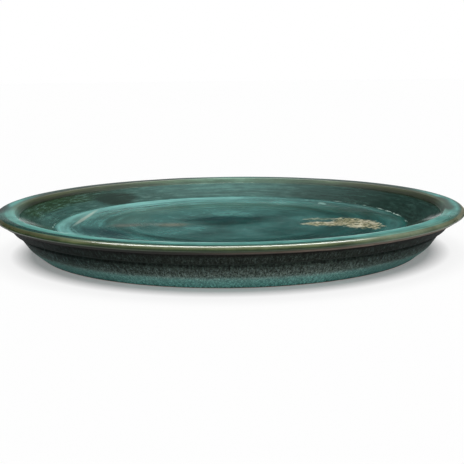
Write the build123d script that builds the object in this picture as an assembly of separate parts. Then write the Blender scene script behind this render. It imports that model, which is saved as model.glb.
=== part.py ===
from build123d import *
import os

# Glazed stoneware plant saucer, in millimetres. Z is the axis the saucer is turned about, and points up.
# The origin is the middle of the foot's plane on the ground. Every piece is a section turned about Z.

# Overall
saucer_radius = 150.0
saucer_height = 28.0

# Lip, a thick rolled rim that stands out past the wall
lip_top_width = 12.4
crest_width = 4.4
lip_crown_drop = 0.7
lip_nose_height = 2.0
lip_height = 5.3
lip_taper = 4.1
lip_inner_drop = 3.6
lip_inner_slope = 2.2
crown_round = 12.0
lip_inner_round = 4.4
nose_round = 1.1
arris_round = 0.9

# Dish, the hollow that the pot stands in
floor_height = 16.0
dish_wall_run = 20.6
dish_wall_round = 2.5
floor_edge_round = 3.0

# Outer wall: an upper band under the lip, a groove, and a lower wall that draws in to the foot
undercut_depth = 2.5
undercut_drop = 0.3
band_taper = 4.5
band_height = 5.7
ledge_depth = 4.2
ledge_drop = 1.5
shoulder_swell = 0.5
shoulder_drop = 1.3
lower_wall_taper = 5.0
lower_wall_height = 7.3
undercut_round = 1.0
ledge_round = 1.0
groove_round = 0.6
belly_round = 16.0

# Foot ring, the bare clay that the saucer stands on, and the recess inside it
foot_inset = 28.1
foot_width = 9.4
recess_depth = 6.5
recess_slope = 3.0
foot_round = 0.9
recess_round = 3.0

# Glaze
glaze_thickness = 0.6
bare_foot_height = 1.6

# How far a cutting shape runs past the section it cuts
overrun = 5.0

# Places worked out from the sizes above, as radii from the axis and heights over the ground
crown_edge_height = saucer_height - lip_crown_drop
lip_inner_radius = saucer_radius - lip_top_width
crest_radius = lip_inner_radius + crest_width
lip_root_radius = lip_inner_radius - lip_inner_slope
lip_root_height = saucer_height - lip_inner_drop
floor_radius = lip_root_radius - dish_wall_run
arris_radius = saucer_radius - lip_taper
arris_height = saucer_height - lip_height
band_top_radius = arris_radius - undercut_depth
band_top_height = arris_height - undercut_drop
ledge_radius = band_top_radius - band_taper
ledge_height = band_top_height - band_height
groove_radius = ledge_radius - ledge_depth
groove_height = ledge_height - ledge_drop
shoulder_radius = groove_radius + shoulder_swell
shoulder_height = groove_height - shoulder_drop
belly_radius = shoulder_radius - lower_wall_taper
belly_height = shoulder_height - lower_wall_height
foot_radius = saucer_radius - foot_inset
foot_inner_radius = foot_radius - foot_width
foot_middle_radius = foot_radius - foot_width / 2
floor_middle_height = (floor_height + recess_depth) / 2
lip_middle_height = (saucer_height + arris_height) / 2

# Corners of the half section, from the floor's middle round to the recess's: radius, height, rounding
saucer_corners = [
    (0, floor_height, 0),
    (floor_radius, floor_height, floor_edge_round),
    (lip_root_radius, lip_root_height, dish_wall_round),
    (lip_inner_radius, saucer_height, lip_inner_round),
    (crest_radius, saucer_height, crown_round),
    (saucer_radius, crown_edge_height, nose_round),
    (saucer_radius, crown_edge_height - lip_nose_height, nose_round),
    (arris_radius, arris_height, arris_round),
    (band_top_radius, band_top_height, undercut_round),
    (ledge_radius, ledge_height, ledge_round),
    (groove_radius, groove_height, groove_round),
    (shoulder_radius, shoulder_height, arris_round),
    (belly_radius, belly_height, belly_round),
    (foot_radius, 0, foot_round),
    (foot_inner_radius, 0, foot_round),
    (foot_inner_radius - recess_slope, recess_depth, recess_round),
    (0, recess_depth, 0),
]


def rounded_face(corners):
    """The face inside a half section's corners, closed along the axis, with each corner rounded."""
    points = [(radius, height) for radius, height, rounding in corners]
    roundings = [rounding for radius, height, rounding in corners[1:-1]]
    edge = Plane.XZ * FilletPolyline(*points, radius=roundings)
    return make_face([edge, Line(edge @ 1, edge @ 0)])


def plain_face(*points):
    """The face inside straight lines through the points, each a radius and a height."""
    return make_face(Plane.XZ * Polyline(*points, close=True))


def turned(face):
    """A section turned all the way about the saucer's axis."""
    return revolve(face, axis=Axis.Z, revolution_arc=360)


# Regions of the section's plane that part the clay and the coats of glaze from one another
wide = saucer_radius + overrun
high = saucer_height + overrun
low = -overrun
axis_to_rim = plain_face((0, low), (wide, low), (wide, high), (0, high))
bare_foot = plain_face((0, low), (wide, low), (wide, bare_foot_height), (0, bare_foot_height))
under_the_floor = plain_face(
    (0, low),
    (foot_middle_radius, low),
    (foot_middle_radius, floor_middle_height),
    (0, floor_middle_height),
)
outside_the_dish = plain_face(
    (foot_middle_radius, low),
    (wide, low),
    (wide, arris_height),
    (arris_radius, arris_height),
    (band_top_radius, lip_middle_height),
    (foot_middle_radius, floor_middle_height),
)

# The clay lies one glaze thickness inside the finished surface, and comes out to it on the bare foot
saucer_section = rounded_face(saucer_corners)
both_sides = saucer_section + mirror(saucer_section, about=Plane.YZ)
glazed_core = offset(both_sides, amount=-glaze_thickness, kind=Kind.ARC) & axis_to_rim
clay_section = glazed_core + (saucer_section & bare_foot)
coat_section = saucer_section - clay_section

# The two coats that show meet along the arris under the lip, and the bare foot parts them from the third
parts = {
    "stoneware_body": turned(clay_section),
    "inside_glaze": turned(coat_section - outside_the_dish - under_the_floor),
    "outside_glaze": turned(coat_section & outside_the_dish),
    "underside_glaze": turned(coat_section & under_the_floor),
}

os.makedirs("parts", exist_ok=True)
for name, solid in parts.items():
    solid.label = name
    export_step(solid, f"parts/{name}.step")
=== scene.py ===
import math
from types import SimpleNamespace

import bmesh
import bpy
from mathutils import Matrix, Vector, noise


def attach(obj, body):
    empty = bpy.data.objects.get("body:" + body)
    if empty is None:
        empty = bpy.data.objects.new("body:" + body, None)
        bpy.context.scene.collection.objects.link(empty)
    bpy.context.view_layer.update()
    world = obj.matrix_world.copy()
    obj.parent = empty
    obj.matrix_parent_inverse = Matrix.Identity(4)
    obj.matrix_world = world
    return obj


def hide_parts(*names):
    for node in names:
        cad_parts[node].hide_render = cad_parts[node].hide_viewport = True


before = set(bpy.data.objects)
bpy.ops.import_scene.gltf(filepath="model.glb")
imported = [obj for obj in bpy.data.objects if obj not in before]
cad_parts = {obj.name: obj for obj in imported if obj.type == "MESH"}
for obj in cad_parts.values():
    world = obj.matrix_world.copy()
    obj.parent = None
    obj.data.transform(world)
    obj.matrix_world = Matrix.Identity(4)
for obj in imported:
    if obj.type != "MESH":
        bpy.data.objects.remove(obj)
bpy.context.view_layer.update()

MM = 0.001

# Half sections of the two coats that show, turned about the saucer's axis.
# Each corner: millimetres from the axis, millimetres over the ground, and how far back its rounding starts.
DISH_AND_LIP = [
    (0.0, 16.0, 0.0),
    (114.8, 16.0, 0.6),
    (135.4, 24.4, 0.0),
    (137.6, 28.0, 0.6),
    (147.6, 28.0, 1.2),
    (149.2, 26.95, 0.4),
    (150.0, 25.9, 0.4),
    (150.0, 25.3, 0.3),
    (145.9, 22.7, 0.0),
]
OUTER_WALL = [
    (145.9, 22.7, 0.0),
    (143.4, 22.4, 0.4),
    (138.9, 16.7, 0.3),
    (134.7, 15.2, 0.5),
    (135.2, 13.9, 0.4),
    (130.2, 6.6, 2.4),
    (122.7, 0.5, 0.0),
]

# How thick a coat of glaze is, in millimetres
COAT = 0.6

# How fine the coats' meshes are. Lengths are in millimetres, and points nearer than the last are one point.
TURN_STEPS = 360
ROUNDING_STEPS = 6
LONGEST_EDGE = 2.3
SAME_POINT = 0.001
SHARP_ANGLE = math.radians(25)

# Radii in millimetres at which the dish's floor, the crease round it and its sloping wall end
FLOOR_END = 112.0
CREASE_END = 118.0
WALL_END = 136.0

# The radius in millimetres at which marks that follow the ring have the length that they are given
RING_RADIUS = 140.0

# Nearly all of a noise texture's values lie between these
NOISE_LOW = 0.3
NOISE_HIGH = 0.7


def linear(code):
    """An sRGB colour written as hex, turned to the linear values that shaders take."""
    parts = [int(code[i:i + 2], 16) / 255 for i in (1, 3, 5)]
    return tuple(c / 12.92 if c <= 0.04045 else ((c + 0.055) / 1.055) ** 2.4 for c in parts) + (1.0,)


def add(tree, kind, values=None, stops=None, **settings):
    """Adds a node with its settings, its ramp's stops, and the values and links of its sockets, and returns its
    first working output. Sockets go by name or number. A Mix node's factor is 0, the numbers that it mixes are
    2 and 3, and the colours 6 and 7. A Map Range node takes 0 from between 1 and 2 to between 3 and 4."""
    made = tree.nodes.new(kind)
    for name, setting in settings.items():
        setattr(made, name, setting)
    for key, value in (values or {}).items():
        if isinstance(value, bpy.types.NodeSocket):
            tree.links.new(value, made.inputs[key])
        else:
            made.inputs[key].default_value = linear(value) if isinstance(value, str) else value
    if stops:
        ramp = made.color_ramp.elements
        ramp.remove(ramp[-1])
    for place, colour in stops or ():
        stop = ramp[0] if place == 0.0 else ramp.new(place)
        stop.color = linear(colour) if isinstance(colour, str) else (colour, colour, colour, 1.0)
    return next((socket for socket in made.outputs if socket.enabled), None)


# Shapes


def turned_coat(corners, faces_up):
    """The outer face of a coat of glaze: a section with its corners rounded, turned about the axis.
    The dish faces up on the whole, and the outer wall, which draws in to the foot, faces down."""
    bm = bmesh.new()
    points = [bm.verts.new((across * MM, 0.0, up * MM)) for across, up, rounding in corners]
    for start, end in zip(points, points[1:]):
        bm.edges.new((start, end))
    for point, (across, up, rounding) in zip(points, corners):
        if rounding:
            bmesh.ops.bevel(bm, geom=[point], offset=rounding * MM, segments=ROUNDING_STEPS, profile=0.5,
                            affect="VERTICES", material=-1)
    for edge in list(bm.edges):
        bmesh.ops.subdivide_edges(bm, edges=[edge], cuts=int(edge.calc_length() / (LONGEST_EDGE * MM)))
    bmesh.ops.spin(bm, geom=bm.verts[:] + bm.edges[:], cent=(0, 0, 0), axis=(0, 0, 1),
                   angle=math.tau, steps=TURN_STEPS, use_merge=True)
    bmesh.ops.remove_doubles(bm, verts=bm.verts[:], dist=SAME_POINT * MM)
    bmesh.ops.recalc_face_normals(bm, faces=bm.faces[:])
    if (sum(face.normal.z for face in bm.faces) > 0) != faces_up:
        bmesh.ops.reverse_faces(bm, faces=bm.faces[:])
    return bm


def along_the_ring(co, length, width):
    """A place for noise that draws marks of one length round the saucer and one width across it, in mm."""
    across = max(math.hypot(co.x, co.y), MM)
    way = RING_RADIUS / length / across
    return Vector((co.x * way, co.y * way, (across + co.z) / (width * MM)))


def hand_thrown(bm):
    """Moves the dish's face by up to a fifth of a millimetre: throwing rings on the floor, which fade towards its
    middle, ripples in the crease and on the wall, and a lip that wavers inwards."""
    ring_depth, ring_spacing, ring_drift, drift_size, middle = 0.02, 8.5, 4.0, 45.0, 20.0
    bm.normal_update()
    moves = []
    for v in bm.verts:
        across = math.hypot(v.co.x, v.co.y) / MM
        if across < FLOOR_END:
            drift = ring_drift * noise.noise(v.co / (drift_size * MM))
            move = ring_depth * math.sin(math.tau * across / ring_spacing + drift) * min(1.0, across / middle)
        elif across < CREASE_END:
            move = 0.16 * noise.noise(along_the_ring(v.co, 5.0, 6.0))
        elif across < WALL_END:
            move = 0.14 * noise.noise(along_the_ring(v.co, 16.0, 5.0))
        else:
            move = -0.10 + 0.10 * noise.noise(along_the_ring(v.co, 22.0, 9.0))
        moves.append(v.normal * move * MM)
    for v, move in zip(bm.verts, moves):
        v.co += move


def ribbed_outside(bm):
    """Moves the outer wall's face by about a tenth of a millimetre, in the shallow lines left by the thrower's rib."""
    bm.normal_update()
    for v in bm.verts:
        v.co += v.normal * (0.10 * noise.noise(along_the_ring(v.co, 60.0, 2.4)) - 0.05) * MM


def as_object(bm, name, material):
    """An object in the scene with the shape of a bmesh, which is freed."""
    mesh = bpy.data.meshes.new(name)
    bm.to_mesh(mesh)
    bm.free()
    mesh.materials.append(material)
    made = bpy.data.objects.new(name, mesh)
    bpy.context.scene.collection.objects.link(made)
    return made


def put_in_place(bm, name, node, material):
    """Makes a coat's face a closed skin, a piece that rides on the saucer in place of its CAD node."""
    bmesh.ops.solidify(bm, geom=bm.faces[:], thickness=COAT * MM)
    for edge in bm.edges:
        edge.smooth = edge.calc_face_angle(0.0) < SHARP_ANGLE
    piece = as_object(bm, name, material)
    for face in piece.data.polygons:
        face.use_smooth = True
    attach(piece, "root")
    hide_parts(node)


# What materials are drawn with


def new_material(name):
    """An empty material and its tree."""
    material = bpy.data.materials.new(name)
    material.use_nodes = True
    material.node_tree.nodes.clear()
    return material, material.node_tree


def place_in_mm(tree):
    """Where a point of the piece is, in millimetres."""
    place = add(tree, "ShaderNodeTexCoord").node.outputs["Object"]
    return add(tree, "ShaderNodeVectorMath", {0: place, "Scale": 1 / MM}, operation="SCALE")


def from_axis(tree):
    """A point's place in millimetres, its radius, its height, and its way out from the saucer's axis."""
    place = place_in_mm(tree)
    flat = add(tree, "ShaderNodeVectorMath", {0: place, 1: (1, 1, 0)}, operation="MULTIPLY")
    return SimpleNamespace(
        place=place,
        radius=add(tree, "ShaderNodeVectorMath", {0: flat}, operation="LENGTH"),
        height=add(tree, "ShaderNodeSeparateXYZ", {0: place}).node.outputs["Z"],
        way=add(tree, "ShaderNodeVectorMath", {0: flat}, operation="NORMALIZE"),
    )


def round_the_ring(tree, at):
    """A point's turn round the ring: 0 and 1 at the near side, 0.25 at the left, 0.5 at the far side, and 0.75 at
    the right."""
    axes = add(tree, "ShaderNodeSeparateXYZ", {0: at.way}).node
    turn = add(tree, "ShaderNodeMath", {0: axes.outputs["X"], 1: axes.outputs["Y"]}, operation="ARCTAN2")
    return add(tree, "ShaderNodeMath", {0: turn, 1: 1 / math.tau, 2: 0.5}, operation="MULTIPLY_ADD")


def ring_marks(tree, at, length, width, detail=3.0, rough=0.55):
    """Noise whose marks are length mm long round the lip and width mm wide across it."""
    round_it = add(tree, "ShaderNodeVectorMath", {0: at.way, "Scale": RING_RADIUS / length}, operation="SCALE")
    across = add(tree, "ShaderNodeMath", {0: at.radius, 1: at.height}, operation="ADD")
    across = add(tree, "ShaderNodeMath", {0: across, 1: 1 / width}, operation="MULTIPLY")
    across = add(tree, "ShaderNodeCombineXYZ", {"Z": across})
    where = add(tree, "ShaderNodeVectorMath", {0: round_it, 1: across}, operation="ADD")
    return add(tree, "ShaderNodeTexNoise", {0: where, "Scale": 1.0, "Detail": detail, "Roughness": rough})


def blotch(tree, place, middle, size, tilt, edge, ragged, how_ragged):
    """A mask that is 1 inside an upright oval column, and ragged at its edge. Its middle and its half sizes are in
    mm, and its tilt in degrees. The edge is how much of the half size the mask takes to fade."""
    column = 1000
    local = add(tree, "ShaderNodeMapping", {
        "Vector": place, "Location": (*middle, 0), "Rotation": (0, 0, math.radians(tilt)),
        "Scale": (*size, column)}, vector_type="TEXTURE")
    out = add(tree, "ShaderNodeVectorMath", {0: local}, operation="LENGTH")
    out = add(tree, "ShaderNodeMath", {0: ragged, 1: how_ragged, 2: out}, operation="MULTIPLY_ADD")
    rim = 1 + how_ragged / 2
    return add(tree, "ShaderNodeMapRange", {0: out, 1: rim, 2: rim - edge}, interpolation_type="SMOOTHSTEP")


def thick_and_thin(tree, colour, noises, calm=None):
    """Darkens and lightens a colour by each noise in turn: the noise, its darkest factor and its lightest.
    Where it is calm, from 0 to 1, the noises do less."""
    for mark, low, high in noises:
        depth = add(tree, "ShaderNodeMapRange", {0: mark, 1: NOISE_LOW, 2: NOISE_HIGH, 3: low, 4: high})
        if calm is not None:
            depth = add(tree, "ShaderNodeMix", {0: calm, 2: depth, 3: 1.0})
        colour = add(tree, "ShaderNodeVectorMath", {0: colour, "Scale": depth}, operation="SCALE")
    return colour


# The glaze inside the dish and over the lip, part by part


def glaze_noises(tree, at):
    """What the inside glaze is drawn with. Drift, cloud, grain, marble and pooled lie in the coat itself. Runs, brush,
    fleck and sweep follow the ring. Turned is 0 in the floor's middle and 1 where the wheel's marks show."""
    return SimpleNamespace(
        drift=add(tree, "ShaderNodeTexNoise", {0: at.place, "Scale": 1 / 60, "Detail": 2.0}),
        cloud=add(tree, "ShaderNodeTexNoise", {0: at.place, "Scale": 1 / 16, "Detail": 4.0, "Roughness": 0.55}),
        grain=add(tree, "ShaderNodeTexNoise", {0: at.place, "Scale": 1 / 2.2, "Detail": 3.0, "Roughness": 0.6}),
        marble=add(tree, "ShaderNodeTexNoise", {
            0: at.place, "Scale": 1 / 4.5, "Detail": 4.0, "Roughness": 0.6, "Distortion": 1.2}),
        pooled=add(tree, "ShaderNodeTexNoise", {0: at.place, "Scale": 1 / 26, "Detail": 5.0, "Roughness": 0.6}),
        runs=ring_marks(tree, at, 16.0, 3.0),
        brush=ring_marks(tree, at, 60.0, 2.2),
        fleck=ring_marks(tree, at, 9.0, 2.0, detail=5.0, rough=0.65),
        sweep=ring_marks(tree, at, 75.0, 7.0, detail=4.0, rough=0.6),
        turned=add(tree, "ShaderNodeMapRange", {0: at.radius, 1: 40.0, 2: 80.0}, interpolation_type="SMOOTHSTEP"),
    )


def floor_colour(tree, at, marks):
    """The floor's rings: deep teal in the middle, and bright where the glaze pooled before the crease. They wander by
    a few millimetres near the wall and by up to fifteen in the middle, and are darker at the right."""
    deep, pooled, crease_radius = "#0f4c47", "#97dad4", 115
    shift = add(tree, "ShaderNodeMath", {0: marks.drift, 1: 6.0, 2: -3.0}, operation="MULTIPLY_ADD")
    wander = add(tree, "ShaderNodeMapRange", {0: at.radius, 1: 20.0, 2: 90.0, 3: 5.0, 4: 1.0})
    shift = add(tree, "ShaderNodeMath", {0: shift, 1: wander}, operation="MULTIPLY")
    fine = add(tree, "ShaderNodeMapRange", {0: at.radius, 1: 20.0, 2: 90.0, 3: 1.0, 4: 4.0})
    shift = add(tree, "ShaderNodeMath", {0: marks.brush, 1: fine, 2: shift}, operation="MULTIPLY_ADD")
    inner = add(tree, "ShaderNodeMapRange", {0: at.radius, 1: 118.0, 2: 108.0})
    shift = add(tree, "ShaderNodeMath", {0: shift, 1: inner}, operation="MULTIPLY")
    ring = add(tree, "ShaderNodeMath", {0: at.radius, 1: shift}, operation="ADD")
    ring = add(tree, "ShaderNodeMath", {0: ring, 1: 1 / crease_radius}, operation="MULTIPLY")
    # How much of the glaze is pooled, from the middle out
    behind = add(tree, "ShaderNodeValToRGB", {0: ring}, stops=[
        (0.0, 0.0), (0.12, 0.05), (0.2, 0.2), (0.3, 0.3), (0.42, 0.25), (0.55, 0.25), (0.64, 0.15), (0.7, 0.2),
        (0.76, 0.4), (0.86, 0.45), (0.92, 0.85), (0.975, 1.0), (0.99, 0.4), (1.0, 0.15)])
    at_the_right = add(tree, "ShaderNodeValToRGB", {0: ring}, stops=[
        (0.0, 0.0), (0.12, 0.0), (0.2, 0.1), (0.3, 0.15), (0.55, 0.15), (0.64, 0.05), (0.9, 0.05), (0.96, 0.2),
        (0.985, 0.05), (1.0, 0.0)])
    lean = add(tree, "ShaderNodeValToRGB", {0: at.turn}, stops=[
        (0.0, 0.9), (0.14, 0.35), (0.25, 0.35), (0.32, 0.2), (0.375, 0.0), (0.5, 0.05), (0.583, 0.5),
        (0.667, 0.95), (0.86, 1.0), (1.0, 0.9)])
    amount = add(tree, "ShaderNodeMix", {0: lean, 2: behind, 3: at_the_right})
    colour = add(tree, "ShaderNodeMix", {0: amount, 6: deep, 7: pooled}, data_type="RGBA")
    # Broad bands of thick and thin: swept round by the wheel, but only pooled in the middle
    swept = add(tree, "ShaderNodeMix", {0: marks.turned, 2: marks.pooled, 3: marks.sweep})
    return thick_and_thin(tree, colour, [(swept, 0.45, 1.55)])


def wall_colour(tree, at, marks):
    """The dish's wall, round the ring: grey-teal behind, dark olive at the left, near black at the right, and flecked
    with pale glaze."""
    near_black, olive, grey_teal = "#1b352e", "#2a4428", "#517e77"
    # How much of the coat is grey-teal, along the wall's foot and along its top, and how much of the rest is olive
    foot_of_wall = add(tree, "ShaderNodeValToRGB", {0: at.turn}, stops=[
        (0.0, 0.6), (0.19, 0.65), (0.25, 0.6), (0.33, 0.4), (0.42, 0.45), (0.5, 0.85), (0.58, 0.2), (0.67, 0.0),
        (0.75, 0.0), (0.86, 0.3), (1.0, 0.6)])
    top_of_wall = add(tree, "ShaderNodeValToRGB", {0: at.turn}, stops=[
        (0.0, 0.7), (0.19, 0.7), (0.25, 0.1), (0.33, 0.0), (0.38, 0.2), (0.42, 0.55), (0.5, 1.0), (0.58, 0.3),
        (0.67, 0.0), (0.75, 0.05), (0.82, 0.4), (1.0, 0.7)])
    olive_part = add(tree, "ShaderNodeValToRGB", {0: at.turn}, stops=[
        (0.0, 0.0), (0.19, 0.0), (0.25, 1.0), (0.33, 0.75), (0.42, 0.0)])
    higher = add(tree, "ShaderNodeMath", {0: marks.runs, 1: 8.0, 2: at.radius}, operation="MULTIPLY_ADD")
    higher = add(tree, "ShaderNodeMapRange", {0: higher, 1: 125.0, 2: 132.0}, interpolation_type="SMOOTHSTEP")
    amount = add(tree, "ShaderNodeMix", {0: higher, 2: foot_of_wall, 3: top_of_wall})
    olive_part = add(tree, "ShaderNodeMath", {0: olive_part, 1: higher}, operation="MULTIPLY")
    dark = add(tree, "ShaderNodeMix", {0: olive_part, 6: near_black, 7: olive}, data_type="RGBA")
    colour = add(tree, "ShaderNodeMix", {0: amount, 6: dark, 7: grey_teal}, data_type="RGBA")
    flecked = add(tree, "ShaderNodeValToRGB", {0: at.turn}, stops=[
        (0.0, 0.4), (0.2, 0.5), (0.33, 0.5), (0.42, 0.5), (0.52, 0.35), (0.6, 0.12), (0.75, 0.18), (1.0, 0.4)])
    pale = add(tree, "ShaderNodeMapRange", {0: marks.fleck, 1: 0.45, 2: 0.75}, interpolation_type="SMOOTHSTEP")
    pale = add(tree, "ShaderNodeMath", {0: pale, 1: flecked}, operation="MULTIPLY")
    return add(tree, "ShaderNodeMix", {0: pale, 6: colour, 7: "#6f998e"}, data_type="RGBA")


def lip_colour(tree, at, marks, lighter_near_right):
    """The lip from its inner edge out. Its coat is teal in front, with a dark line by its outer edge where it is thick
    and a pale one at the near right. It broke to olive at the left, behind and at the right."""
    inner_edge, lip_width = 134.8, 16.0
    step = add(tree, "ShaderNodeMath", {0: marks.brush, 1: 1.6, 2: at.radius}, operation="MULTIPLY_ADD")
    step = add(tree, "ShaderNodeMapRange", {0: step, 1: inner_edge, 2: inner_edge + lip_width})

    # Olive: the inner slope, darkest at its foot and at the right, and grey-green behind
    shade, olive_slope, grey_shade, grey_slope = "#1c2a14", "#596240", "#6c8875", "#7b9a7b"
    reach = add(tree, "ShaderNodeValToRGB", {0: at.turn}, stops=[
        (0.0, 1.0), (0.25, 0.65), (0.33, 1.0), (0.64, 1.0), (0.7, 0.4), (0.75, 0.35), (1.0, 1.0)])
    rise = add(tree, "ShaderNodeMapRange", {0: step, 1: 0.11, 2: 0.24, 4: reach})
    slope = add(tree, "ShaderNodeMix", {0: rise, 6: shade, 7: olive_slope}, data_type="RGBA")
    grey = add(tree, "ShaderNodeMix", {0: rise, 6: grey_shade, 7: grey_slope}, data_type="RGBA")
    greyed = add(tree, "ShaderNodeValToRGB", {0: at.turn}, stops=[
        (0.0, 0.0), (0.33, 0.0), (0.4, 0.25), (0.46, 0.8), (0.51, 1.0), (0.58, 0.3), (0.64, 0.0)])
    slope = add(tree, "ShaderNodeMix", {0: greyed, 6: slope, 7: grey}, data_type="RGBA")
    # The crown over it, nearly black where the coat drew thin
    crown = add(tree, "ShaderNodeValToRGB", {0: step}, stops=[
        (0.0, "#4a6048"), (0.28, "#3e5034"), (0.38, "#425b42"), (0.45, "#447a6f"), (0.52, "#4d938a"),
        (0.68, "#4f968e"), (0.76, "#3a7a72"), (0.82, "#24544e"), (0.92, "#183832"), (1.0, "#142f2a")])
    drawn = add(tree, "ShaderNodeValToRGB", {0: at.turn}, stops=[
        (0.0, 0.0), (0.27, 0.0), (0.31, 0.85), (0.45, 0.85), (0.5, 0.45), (0.55, 0.85), (0.68, 0.85), (0.72, 0.0)])
    crown = add(tree, "ShaderNodeMix", {0: drawn, 6: crown, 7: "#1f2b1e"}, data_type="RGBA")
    over = add(tree, "ShaderNodeMapRange", {0: step, 1: 0.22, 2: 0.28})
    olive = add(tree, "ShaderNodeMix", {0: over, 6: slope, 7: crown}, data_type="RGBA")

    teal = add(tree, "ShaderNodeValToRGB", {0: step}, stops=[
        (0.0, "#3f7a70"), (0.15, "#5fa599"), (0.225, "#80ccc1"), (0.38, "#74beb4"), (0.54, "#66aca2"),
        (0.68, "#528f85"), (0.75, "#43736a"), (0.80, "#456b60"), (0.86, "#626f52"), (1.0, "#66704c")])
    broken = add(tree, "ShaderNodeValToRGB", {0: at.turn}, stops=[
        (0.0, 0.0), (0.15, 0.0), (0.2, 0.15), (0.24, 0.85), (0.28, 1.0), (0.44, 1.0), (0.5, 0.8), (0.56, 0.9),
        (0.63, 1.0), (0.74, 1.0), (0.79, 0.7), (0.83, 0.15), (0.86, 0.0), (1.0, 0.0)])
    colour = add(tree, "ShaderNodeMix", {0: broken, 6: teal, 7: olive}, data_type="RGBA")

    dark_line = add(tree, "ShaderNodeValToRGB", {0: step}, stops=[
        (0.0, 0.0), (0.56, 0.0), (0.64, 1.0), (0.82, 1.0), (0.86, 0.0)])
    thick_coat = add(tree, "ShaderNodeValToRGB", {0: at.turn}, stops=[
        (0.0, 0.15), (0.05, 0.45), (0.10, 1.0), (0.2, 0.9), (0.24, 0.0), (0.91, 0.0), (0.95, 0.4), (1.0, 0.15)])
    pale_line = add(tree, "ShaderNodeValToRGB", {0: step}, stops=[
        (0.0, 0.0), (0.58, 0.0), (0.68, 1.0), (0.84, 1.0), (0.9, 0.0)])
    for line, coat, glaze in [(dark_line, thick_coat, "#264f48"), (pale_line, lighter_near_right, "#7fb5a5")]:
        line = add(tree, "ShaderNodeMath", {0: line, 1: coat}, operation="MULTIPLY")
        colour = add(tree, "ShaderNodeMix", {0: line, 6: colour, 7: glaze}, data_type="RGBA")
    return colour


def side_colour(tree, at, marks, lighter_near_right):
    """The lip's outer side: olive or tan at the turn, dark green below it, lighter at the near right, and brown along
    the lower edge, redder at the right. The black at the left of that edge and in the corner under it is painted
    shade."""
    bottom, top = 23.3, 28.3
    dark_tan, pale_tan, black, brown = "#38341f", "#615c48", "#0a0d08", "#6c5f54"
    side = add(tree, "ShaderNodeMath", {0: marks.runs, 1: 1.2, 2: at.height}, operation="MULTIPLY_ADD")
    side = add(tree, "ShaderNodeMapRange", {0: side, 1: bottom, 2: top})
    colour = add(tree, "ShaderNodeValToRGB", {0: side}, stops=[
        (0.0, "#2b3420"), (0.46, "#263320"), (0.60, "#25381f"), (0.70, "#35472a"), (0.80, "#616d47"),
        (0.92, "#707c5b"), (1.0, "#6c7a5c")])
    tan = add(tree, "ShaderNodeValToRGB", {0: at.turn}, stops=[
        (0.0, 0.0), (0.07, 0.2), (0.11, 0.7), (0.3, 0.7), (0.7, 0.7), (0.83, 0.7), (0.92, 0.2), (1.0, 0.0)])
    paler_tan = add(tree, "ShaderNodeValToRGB", {0: at.turn}, stops=[(0.0, 0.0), (0.15, 0.0), (0.3, 0.4), (0.5, 1.0)])
    tan_colour = add(tree, "ShaderNodeMix", {0: paler_tan, 6: dark_tan, 7: pale_tan}, data_type="RGBA")
    high = add(tree, "ShaderNodeMapRange", {0: side, 1: 0.66, 2: 0.82})
    tan = add(tree, "ShaderNodeMath", {0: tan, 1: high}, operation="MULTIPLY")
    colour = add(tree, "ShaderNodeMix", {0: tan, 6: colour, 7: tan_colour}, data_type="RGBA")
    paler = add(tree, "ShaderNodeMapRange", {0: side, 1: 0.2, 2: 0.4, 3: 0.0, 4: 0.8})
    paler = add(tree, "ShaderNodeMath", {0: paler, 1: lighter_near_right}, operation="MULTIPLY")
    colour = add(tree, "ShaderNodeMix", {0: paler, 6: colour, 7: "#7a8a74"}, data_type="RGBA")
    low = add(tree, "ShaderNodeMapRange", {0: side, 1: 0.48, 2: 0.30}, interpolation_type="SMOOTHSTEP")
    # Brown along the lower edge, redder at the right; the black that stands where there is none, at the left, is
    # painted shade
    brown_part = add(tree, "ShaderNodeValToRGB", {0: at.turn}, stops=[
        (0.0, 0.35), (0.03, 0.05), (0.06, 0.0), (0.2, 0.0), (0.27, 0.15), (0.5, 0.3), (0.75, 0.5), (0.83, 1.0),
        (0.94, 0.95), (0.97, 0.6), (1.0, 0.35)])
    brown_and_shade = add(tree, "ShaderNodeMix", {0: brown_part, 6: black, 7: brown}, data_type="RGBA")
    colour = add(tree, "ShaderNodeMix", {0: low, 6: colour, 7: brown_and_shade}, data_type="RGBA")
    # Painted shade: near black in the corner under the lower edge
    corner_shade = add(tree, "ShaderNodeMapRange", {0: side, 1: 0.13, 2: 0.06})
    return add(tree, "ShaderNodeMix", {0: corner_shade, 6: colour, 7: "#15110d"}, data_type="RGBA")


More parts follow.
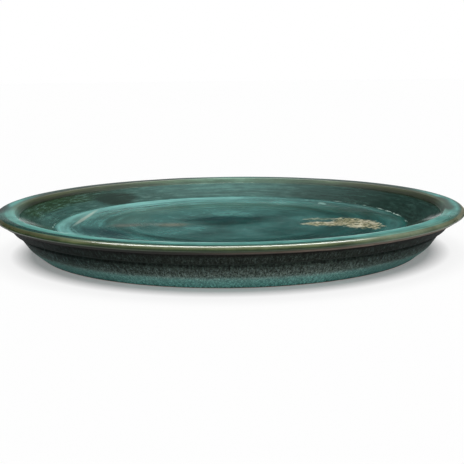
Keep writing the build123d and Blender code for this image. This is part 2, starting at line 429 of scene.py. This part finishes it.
def pour_marks(tree, at, marks, colour):
    """A colour with the dark and pale marks of the pour over it, and a painted shade at the lip's left end. Each is an
    oval on the dish or its lip: middle, half size, tilt, softness, the noise that makes it ragged, how ragged, colour,
    strength."""
    for middle, size, tilt, edge, ragged, how_ragged, mark, strength in [
        ((-5, 9), (27, 15), 0, 0.9, marks.cloud, 0.8, "#14484a", 0.8),
        ((-68, 8), (24, 44), 0, 0.9, marks.cloud, 0.8, "#6b958b", 0.6),
        ((-98, 21), (2.4, 42), -5, 0.6, marks.cloud, 0.5, "#c8dace", 0.75),
        ((-50, -10), (34, 9), 0, 0.9, marks.cloud, 0.8, "#78918a", 0.5),
        ((-54, 46), (28, 26), 0, 0.9, marks.cloud, 0.7, "#74a29a", 0.5),
        ((34, -38), (22, 34), 0, 0.9, marks.cloud, 0.7, "#154a45", 0.6),
        ((-37, -13), (17, 11), 0, 0.9, marks.cloud, 0.7, "#938a76", 0.55),
        ((-66, -14), (16, 9), 0, 0.8, marks.marble, 1.0, "#80847a", 0.6),
        ((-78, -38), (38, 15), -45, 0.8, marks.cloud, 0.8, "#26474b", 0.8),
        ((68, 73), (4, 10), 10, 0.9, marks.cloud, 0.5, "#b4e0d5", 0.7),
        ((-86, 87), (25, 12), 44, 0.5, marks.cloud, 0.5, "#213830", 0.95),
        # Painted shade: darkens the lip at its left end
        ((-149, -17), (11, 30), 7, 0.5, marks.cloud, 0.4, "#132b29", 0.9),
        ((138, -23), (5, 27), -9, 0.6, marks.cloud, 0.5, "#213a2d", 0.85),
        ((141, 4), (5, 20), 0, 0.7, marks.cloud, 0.5, "#2a3524", 0.8),
        ((-134, -42), (10, 26), 17, 0.9, marks.cloud, 0.5, "#487f76", 0.55),
    ]:
        mask = blotch(tree, at.place, middle, size, tilt, edge, ragged, how_ragged)
        mask = add(tree, "ShaderNodeMath", {0: mask, 1: strength}, operation="MULTIPLY")
        colour = add(tree, "ShaderNodeMix", {0: mask, 6: colour, 7: mark}, data_type="RGBA")
    return colour


def mineral_bloom(tree, at, marks, colour):
    """A colour with the mineral bloom at the right over it: cream and tan, marbled, and ragged at its edge. Each of
    its ovals: middle, half size, tilt, strength."""
    edge, how_ragged = 0.25, 1.1
    bloom = 0.0
    for middle, size, tilt, strength in [
        ((59, 3), (11, 5), 4, 0.45),
        ((63, -16), (18, 9), -2, 1.0),
        ((82, -15), (14, 25), 22, 1.0),
    ]:
        mask = blotch(tree, at.place, middle, size, tilt, edge, marks.marble, how_ragged)
        mask = add(tree, "ShaderNodeMath", {0: mask, 1: strength}, operation="MULTIPLY")
        bloom = add(tree, "ShaderNodeMath", {0: mask, 1: bloom}, operation="MAXIMUM")
    thin = add(tree, "ShaderNodeMapRange", {0: marks.grain, 1: 0.36, 2: 0.5, 3: 0.45, 4: 1.0})
    bloom = add(tree, "ShaderNodeMath", {0: bloom, 1: thin}, operation="MULTIPLY")
    bloom_colour = add(tree, "ShaderNodeValToRGB", {0: marks.marble}, stops=[
        (0.0, "#fdf9e6"), (0.42, "#eee8cb"), (0.50, "#aba57b"), (0.60, "#7d876c"), (0.72, "#56776a")])
    return add(tree, "ShaderNodeMix", {0: bloom, 6: colour, 7: bloom_colour}, data_type="RGBA")


def painted_crease_glints(tree, at, marks, colour):
    """A colour with short pale lines over it along the crease below the wall: painted glints of light."""
    crease_radius = 114.6
    crease = add(tree, "ShaderNodeMath", {0: at.radius, 1: crease_radius}, operation="SUBTRACT")
    crease = add(tree, "ShaderNodeMath", {0: crease}, operation="ABSOLUTE")
    crease = add(tree, "ShaderNodeMapRange", {0: crease, 1: 0.8, 2: 0.3})
    # Where round the ring the painted glints lie
    glints = add(tree, "ShaderNodeValToRGB", {0: at.turn}, stops=[
        (0.0, 0.0), (0.222, 0.0), (0.228, 0.9), (0.242, 0.9), (0.25, 0.0), (0.6, 0.0), (0.62, 0.5), (0.66, 0.4),
        (0.685, 1.0), (0.725, 1.0), (0.74, 0.0), (0.755, 0.0), (0.765, 0.9), (0.78, 0.9), (0.79, 0.0)])
    glints = add(tree, "ShaderNodeMath", {0: glints, 1: crease}, operation="MULTIPLY")
    gaps = add(tree, "ShaderNodeMapRange", {0: marks.fleck, 1: 0.48, 2: 0.56})
    glints = add(tree, "ShaderNodeMath", {0: glints, 1: gaps}, operation="MULTIPLY")
    # Painted glints: pale lines that stand in for light glinting in the crease
    return add(tree, "ShaderNodeMix", {0: glints, 6: colour, 7: "#c9e0d6"}, data_type="RGBA")


def dish_roughness(tree, at, marks, outside):
    """Glossy in the dish, a little less on the lip's side, dull on the lip's ends and far side where its coat is
    thinnest, more so towards its outer edge, and matt under its nose."""
    lip_start = 135.2
    rough = add(tree, "ShaderNodeMapRange", {0: marks.runs, 1: 0.3, 2: 0.75, 3: 0.08, 4: 0.16})
    rough = add(tree, "ShaderNodeMix", {0: outside, 2: rough, 3: 0.2})
    dull = add(tree, "ShaderNodeValToRGB", {0: at.turn}, stops=[
        (0.0, 0.0), (0.17, 0.0), (0.22, 1.0), (0.78, 1.0), (0.83, 0.0)])
    on_lip = add(tree, "ShaderNodeMapRange", {0: at.radius, 1: lip_start, 2: lip_start + 0.6})
    dull = add(tree, "ShaderNodeMath", {0: dull, 1: on_lip}, operation="MULTIPLY")
    edge_dull = add(tree, "ShaderNodeMapRange", {0: at.radius, 1: 146.5, 2: 148.5, 3: 0.5, 4: 0.95})
    rough = add(tree, "ShaderNodeMix", {0: dull, 2: rough, 3: edge_dull})
    under = add(tree, "ShaderNodeMapRange", {0: at.height, 1: 25.4, 2: 24.9})
    under = add(tree, "ShaderNodeMath", {0: under, 1: outside}, operation="MULTIPLY")
    return add(tree, "ShaderNodeMix", {0: under, 2: rough, 3: 1.0})


# Materials


def reactive_teal_glaze():
    """Glossy stoneware glaze, poured and fired till it ran: deep teal where it lies thick, brighter in the ring
    where it pooled below the wall, olive and brown where it drew thin over the lip's edges, with a mineral bloom."""
    material, tree = new_material("reactive_teal_stoneware_glaze")
    at = from_axis(tree)
    at.turn = round_the_ring(tree, at)
    marks = glaze_noises(tree, at)

    # Over the floor come the wall, the lip and the lip's outer side, each from its own radius in mm outwards
    colour = floor_colour(tree, at, marks)
    on_wall = add(tree, "ShaderNodeMath", {0: marks.cloud, 1: 3.0, 2: at.radius}, operation="MULTIPLY_ADD")
    on_wall = add(tree, "ShaderNodeMapRange", {0: on_wall, 1: 114.5, 2: 117.5}, interpolation_type="SMOOTHSTEP")
    on_lip = add(tree, "ShaderNodeMapRange", {0: at.radius, 1: 133.8, 2: 135.8}, interpolation_type="SMOOTHSTEP")
    outside = add(tree, "ShaderNodeMapRange", {0: at.radius, 1: 144.0, 2: 145.0})
    lower = add(tree, "ShaderNodeMapRange", {0: at.height, 1: 27.75, 2: 27.45}, interpolation_type="SMOOTHSTEP")
    outside = add(tree, "ShaderNodeMath", {0: outside, 1: lower}, operation="MULTIPLY")
    # Lighter lines on the lip's edge and its side at the near right
    lighter_near_right = add(tree, "ShaderNodeValToRGB", {0: at.turn}, stops=[
        (0.0, 0.0), (0.80, 0.0), (0.85, 0.5), (0.88, 0.7), (0.90, 0.7), (0.94, 0.0)])
    for mask, part in [
        (on_wall, wall_colour(tree, at, marks)),
        (on_lip, lip_colour(tree, at, marks, lighter_near_right)),
        (outside, side_colour(tree, at, marks, lighter_near_right)),
    ]:
        colour = add(tree, "ShaderNodeMix", {0: mask, 6: colour, 7: part}, data_type="RGBA")
    for dressed in (pour_marks, mineral_bloom, painted_crease_glints):
        colour = dressed(tree, at, marks, colour)

    # Streaks round the dish, weak on the floor, brush marks that spare its middle, clouds and a fine grain
    on_floor_too = add(tree, "ShaderNodeMapRange", {0: on_wall, 3: 0.2, 4: 1.0})
    streaks = add(tree, "ShaderNodeMix", {0: on_floor_too, 2: 0.5, 3: marks.runs})
    brushed = add(tree, "ShaderNodeMix", {0: marks.turned, 2: 0.5, 3: marks.brush})
    colour = thick_and_thin(tree, colour, [
        (streaks, 0.8, 1.22), (brushed, 0.85, 1.17), (marks.cloud, 0.86, 1.14), (marks.grain, 0.93, 1.07)])

    skin = add(tree, "ShaderNodeMath", {0: marks.cloud, 1: 0.6, 2: marks.brush}, operation="MULTIPLY_ADD")
    bump = add(tree, "ShaderNodeBump", {"Strength": 0.3, "Distance": 0.05 * MM, "Height": skin})
    surface = add(tree, "ShaderNodeBsdfPrincipled", {
        "Base Color": colour, "Roughness": dish_roughness(tree, at, marks, outside), "IOR": 1.46, "Normal": bump})
    add(tree, "ShaderNodeOutputMaterial", {"Surface": surface})
    return material


def speckled_charcoal_glaze():
    """Satin charcoal glaze, sprayed over the outside: darkest under the lip, where its near black is painted shade,
    and on the ledge, speckled in short upright streaks on the lower wall, and turning to the inside's teal where it
    ran down and pooled by the foot, with painted light and shade round its sides."""
    material, tree = new_material("speckled_charcoal_stoneware_glaze")
    at = from_axis(tree)
    at.turn = round_the_ring(tree, at)
    # Sprayed specks are finer than half a millimetre: dust, grit and speckle are drawn coarser, so that they show
    cloud = add(tree, "ShaderNodeTexNoise", {0: at.place, "Scale": 1 / 22, "Detail": 3.0})
    dust = add(tree, "ShaderNodeTexNoise", {0: at.place, "Scale": 1 / 0.8, "Detail": 2.0, "Roughness": 0.6})
    grit = add(tree, "ShaderNodeTexNoise", {0: at.place, "Scale": 1 / 1.6, "Detail": 3.0, "Roughness": 0.7})
    speckle = ring_marks(tree, at, 1.1, 4.0, rough=0.7)

    # From 0 at the foot to 1 under the lip, with a ragged edge to each colour
    ragged = add(tree, "ShaderNodeMath", {0: speckle, 1: 4.0, 2: at.height}, operation="MULTIPLY_ADD")
    ragged = add(tree, "ShaderNodeMath", {0: cloud, 1: 1.5, 2: ragged}, operation="MULTIPLY_ADD")
    level = add(tree, "ShaderNodeMapRange", {0: ragged, 1: 2.75, 2: 25.45})
    # The last stop, near black under the lip, is painted shade
    colour = add(tree, "ShaderNodeValToRGB", {0: level}, stops=[
        (0.0, "#3f7f78"), (0.05, "#82c2bb"), (0.12, "#90cec7"), (0.26, "#92c8c1"), (0.31, "#92b6af"),
        (0.36, "#6e7f78"), (0.44, "#637069"), (0.53, "#4e5953"), (0.60, "#3f4943"), (0.66, "#29322d"),
        (0.76, "#2a302b"), (0.88, "#2b322d"), (0.97, "#13110e")])

    # Painted light and shade: lighter at the front and darker at both sides, most of all above the foot
    shaded, full_light = "#527272", "#f6f6f6"
    painted_light_by_foot = add(tree, "ShaderNodeValToRGB", {0: at.turn}, stops=[
        (0.0, 0.95), (0.056, 0.9), (0.111, 0.64), (0.17, 0.5), (0.25, 0.5), (0.5, 0.75), (0.75, 0.55), (0.83, 0.55),
        (0.889, 0.66), (0.944, 0.93), (1.0, 0.95)])
    painted_front_light = add(tree, "ShaderNodeValToRGB", {0: at.turn}, stops=[
        (0.0, 1.0), (0.03, 0.85), (0.056, 0.55), (0.111, 0.05), (0.17, 0.0), (0.25, 0.0), (0.5, 0.55), (0.75, 0.05),
        (0.83, 0.05), (0.889, 0.4), (0.944, 1.0)])
    painted_light_above = add(tree, "ShaderNodeMix", {0: painted_front_light, 6: shaded, 7: full_light}, data_type="RGBA")
    up = add(tree, "ShaderNodeMapRange", {0: level, 1: 0.24, 2: 0.52})
    painted_light_and_shade = add(tree, "ShaderNodeMix", {0: up, 6: painted_light_by_foot, 7: painted_light_above}, data_type="RGBA")
    colour = add(tree, "ShaderNodeVectorMath", {0: colour, 1: painted_light_and_shade}, operation="MULTIPLY")
    calm_by_foot = add(tree, "ShaderNodeMapRange", {0: level, 1: 0.36, 2: 0.26, 3: 0.0, 4: 0.5})
    colour = thick_and_thin(tree, colour, [
        (speckle, 0.2, 1.8), (grit, 0.5, 1.5), (dust, 0.4, 1.6), (cloud, 0.8, 1.2)], calm_by_foot)

    # Pale specks that stay blue-grey where the glaze is darkest
    where = add(tree, "ShaderNodeValToRGB", {0: level}, stops=[
        (0.0, 0.0), (0.2, 0.2), (0.34, 1.0), (0.56, 1.0), (0.64, 0.2), (0.9, 0.3), (1.0, 0.1)])
    specks = add(tree, "ShaderNodeMapRange", {0: speckle, 1: 0.54, 2: 0.72, 3: 0.0, 4: 0.5})
    specks = add(tree, "ShaderNodeMath", {0: specks, 1: where}, operation="MULTIPLY")
    colour = add(tree, "ShaderNodeMix", {0: specks, 6: colour, 7: "#7c9494"}, data_type="RGBA")

    rough = add(tree, "ShaderNodeMapRange", {0: grit, 1: NOISE_LOW, 2: NOISE_HIGH, 3: 0.5, 4: 0.8})
    bump = add(tree, "ShaderNodeBump", {"Strength": 0.4, "Distance": 0.1 * MM, "Height": grit})
    surface = add(tree, "ShaderNodeBsdfPrincipled", {
        "Base Color": colour, "Roughness": rough, "IOR": 1.5, "Specular IOR Level": 0.04, "Normal": bump})
    add(tree, "ShaderNodeOutputMaterial", {"Surface": surface})
    return material


def satin_underside_glaze():
    """The charcoal glaze as it lies in the recess under the floor: satin and thin, so the wheel's rings show."""
    material, tree = new_material("satin_underside_stoneware_glaze")
    at = from_axis(tree)
    cloud = add(tree, "ShaderNodeTexNoise", {0: at.place, "Scale": 1 / 30, "Detail": 4.0})
    grit = add(tree, "ShaderNodeTexNoise", {0: at.place, "Scale": 1 / 1.6, "Detail": 3.0, "Roughness": 0.7})
    rings = ring_marks(tree, at, 90.0, 3.0)
    colour = add(tree, "ShaderNodeValToRGB", {0: cloud}, stops=[
        (0.0, "#2c3834"), (0.4, "#384843"), (0.6, "#46605a"), (0.8, "#587a73")])
    colour = thick_and_thin(tree, colour, [(rings, 0.75, 1.25), (grit, 0.7, 1.3)])
    rough = add(tree, "ShaderNodeMapRange", {0: grit, 1: NOISE_LOW, 2: NOISE_HIGH, 3: 0.3, 4: 0.55})
    bump = add(tree, "ShaderNodeBump", {"Strength": 0.5, "Distance": 0.15 * MM, "Height": rings})
    surface = add(tree, "ShaderNodeBsdfPrincipled", {"Base Color": colour, "Roughness": rough, "Normal": bump})
    add(tree, "ShaderNodeOutputMaterial", {"Surface": surface})
    return material


def bare_stoneware():
    """Unglazed stoneware of the foot ring, wiped before firing: warm buff, matt, with iron specks and fine grit."""
    material, tree = new_material("wiped_bare_stoneware")
    place = place_in_mm(tree)
    # The clay's sand is finer than this grit of 0.9 mm, which is as coarse as it has to be to show
    cloud = add(tree, "ShaderNodeTexNoise", {0: place, "Scale": 1 / 18, "Detail": 3.0})
    grit = add(tree, "ShaderNodeTexNoise", {0: place, "Scale": 1 / 0.9, "Detail": 3.0, "Roughness": 0.7})
    specks = add(tree, "ShaderNodeTexVoronoi", {"Vector": place, "Scale": 1 / 4})
    colour = add(tree, "ShaderNodeValToRGB", {0: cloud}, stops=[
        (0.0, "#7a6048"), (0.5, "#8d7258"), (0.8, "#a1876a")])
    dark = add(tree, "ShaderNodeMapRange", {0: specks, 1: 0.16, 2: 0.10})
    colour = add(tree, "ShaderNodeMix", {0: dark, 6: colour, 7: "#3d2c20"}, data_type="RGBA")
    colour = thick_and_thin(tree, colour, [(grit, 0.75, 1.2)])
    bump = add(tree, "ShaderNodeBump", {"Strength": 0.6, "Distance": 0.2 * MM, "Height": grit})
    surface = add(tree, "ShaderNodeBsdfPrincipled", {
        "Base Color": colour, "Roughness": 0.85, "Specular IOR Level": 0.3, "Normal": bump})
    add(tree, "ShaderNodeOutputMaterial", {"Surface": surface})
    return material


# The saucer

dish = turned_coat(DISH_AND_LIP, faces_up=True)
hand_thrown(dish)
put_in_place(dish, "inside_coat", "inside_glaze", reactive_teal_glaze())
wall = turned_coat(OUTER_WALL, faces_up=False)
ribbed_outside(wall)
put_in_place(wall, "outside_coat", "outside_glaze", speckled_charcoal_glaze())
for node, material in [("stoneware_body", bare_stoneware()), ("underside_glaze", satin_underside_glaze())]:
    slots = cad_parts[node].data.materials
    slots.clear()
    slots.append(material)


# The studio


def pale_floor():
    """A round of pale matt floor, open under the saucer's recess, which can be seen through from below. To the eye
    it is mixed with plain white, a fifth by the foot and most of it from under the lip outwards, so the saucer's
    shadow stays and is a light one."""
    opening, out, segments = 110 * MM, 8.0, 96
    material, tree = new_material("pale_matt_floor")
    matt = add(tree, "ShaderNodeBsdfPrincipled", {
        "Base Color": "#f6f6f6", "Roughness": 1.0, "Specular IOR Level": 0.0})
    white = add(tree, "ShaderNodeEmission", {"Color": "#ffffff", "Strength": 1.0})
    seen = add(tree, "ShaderNodeLightPath").node.outputs
    by_eye = add(tree, "ShaderNodeMath", {0: seen["Is Camera Ray"], 1: seen["Is Glossy Ray"]}, operation="MAXIMUM")
    by_eye = add(tree, "ShaderNodeMath", {0: by_eye, 1: seen["Is Transmission Ray"]}, operation="MAXIMUM")
    radius = add(tree, "ShaderNodeVectorMath", {0: place_in_mm(tree)}, operation="LENGTH")
    share = add(tree, "ShaderNodeMapRange", {0: radius, 1: 128.0, 2: 142.0, 3: 0.2, 4: 0.88})
    share = add(tree, "ShaderNodeMath", {0: by_eye, 1: share}, operation="MULTIPLY")
    top = add(tree, "ShaderNodeMixShader", {0: share, 1: matt, 2: white})
    below = add(tree, "ShaderNodeNewGeometry").node.outputs["Backfacing"]
    through = add(tree, "ShaderNodeBsdfTransparent")
    surface = add(tree, "ShaderNodeMixShader", {0: below, 1: top, 2: through})
    add(tree, "ShaderNodeOutputMaterial", {"Surface": surface})
    bm = bmesh.new()
    for reach in (opening, out):
        bmesh.ops.create_circle(bm, segments=segments, radius=reach)
    bmesh.ops.bridge_loops(bm, edges=bm.edges[:])
    bmesh.ops.recalc_face_normals(bm, faces=bm.faces[:])
    if bm.faces[:][0].normal.z < 0:
        bmesh.ops.reverse_faces(bm, faces=bm.faces[:])
    as_object(bm, "studio_floor", material)


def studio_world():
    """White up to just over the horizon, a darker studio over it, brighter in front, and a bright ceiling."""
    world = bpy.data.worlds.new("studio")
    bpy.context.scene.world = world
    world.use_nodes = True
    tree = world.node_tree
    tree.nodes.clear()
    way = add(tree, "ShaderNodeTexCoord").node.outputs["Generated"]
    axes = add(tree, "ShaderNodeSeparateXYZ", {0: way}).node
    behind = add(tree, "ShaderNodeValToRGB", {0: axes.outputs["Z"]}, stops=[
        (0.0, 1.0), (0.105, 1.0), (0.115, 0.02), (0.5, 0.04), (0.68, 0.2), (0.80, 0.4), (1.0, 0.5)])
    in_front = add(tree, "ShaderNodeValToRGB", {0: axes.outputs["Z"]}, stops=[
        (0.0, 1.0), (0.10, 1.0), (0.13, 0.4), (0.5, 0.4), (0.7, 0.45), (1.0, 0.5)])
    front = add(tree, "ShaderNodeMapRange", {0: axes.outputs["Y"], 1: 0.1, 2: -0.6}, interpolation_type="SMOOTHSTEP")
    glow = add(tree, "ShaderNodeMix", {0: front, 6: behind, 7: in_front}, data_type="RGBA")
    light = add(tree, "ShaderNodeBackground", {0: glow, 1: 1.0})
    add(tree, "ShaderNodeOutputWorld", {0: light})


def overhead_softbox():
    """A wide soft light nearly overhead, the same on the whole floor."""
    lamp = bpy.data.objects.new("overhead_softbox", bpy.data.lights.new("overhead_softbox", "SUN"))
    lamp.data.energy, lamp.data.angle = 2.1, math.radians(40)
    lamp.rotation_euler = (math.radians(-10), 0, 0)
    lamp.visible_glossy = False
    bpy.context.scene.collection.objects.link(lamp)


def rim_strip():
    """A narrow bright box over the saucer that only draws the shine along the lip, and gives no other light."""
    lamp = bpy.data.objects.new("rim_strip", bpy.data.lights.new("rim_strip", "AREA"))
    lamp.data.shape = "RECTANGLE"
    lamp.data.size, lamp.data.size_y, lamp.data.energy = 1.3, 0.22, 26.0
    way, away = Vector((0, 0.456, 1.0)).normalized(), 1.3
    lamp.location = way * away
    lamp.rotation_mode = "QUATERNION"
    lamp.rotation_quaternion = way.to_track_quat("Z", "Y")
    lamp.visible_diffuse = False
    lamp.data.cycles.max_bounces = 0
    bpy.context.scene.collection.objects.link(lamp)


def camera():
    """The photograph's viewpoint: just over the rim, from 0.6 m, with a long lens and a slight roll."""
    cam = bpy.data.objects.new("camera", bpy.data.cameras.new("camera"))
    bpy.context.scene.collection.objects.link(cam)
    rise, away, roll = math.radians(8.3), 600 * MM, math.radians(0.644)
    rim_height, aim = 28.2 * MM, Vector((1.22, 0, 8.46)) * MM
    cam.location = (0, -away * math.cos(rise), rim_height + away * math.sin(rise))
    look = (aim - cam.location).to_track_quat("-Z", "Y")
    cam.rotation_mode = "QUATERNION"
    cam.rotation_quaternion = look @ Matrix.Rotation(-roll, 3, "Z").to_quaternion()
    cam.data.sensor_width, cam.data.lens = 36, 70.9
    cam.data.clip_start = 0.01
    bpy.context.scene.camera = cam


pale_floor()
studio_world()
overhead_softbox()
rim_strip()
camera()
bpy.context.scene.view_settings.view_transform = "Standard"
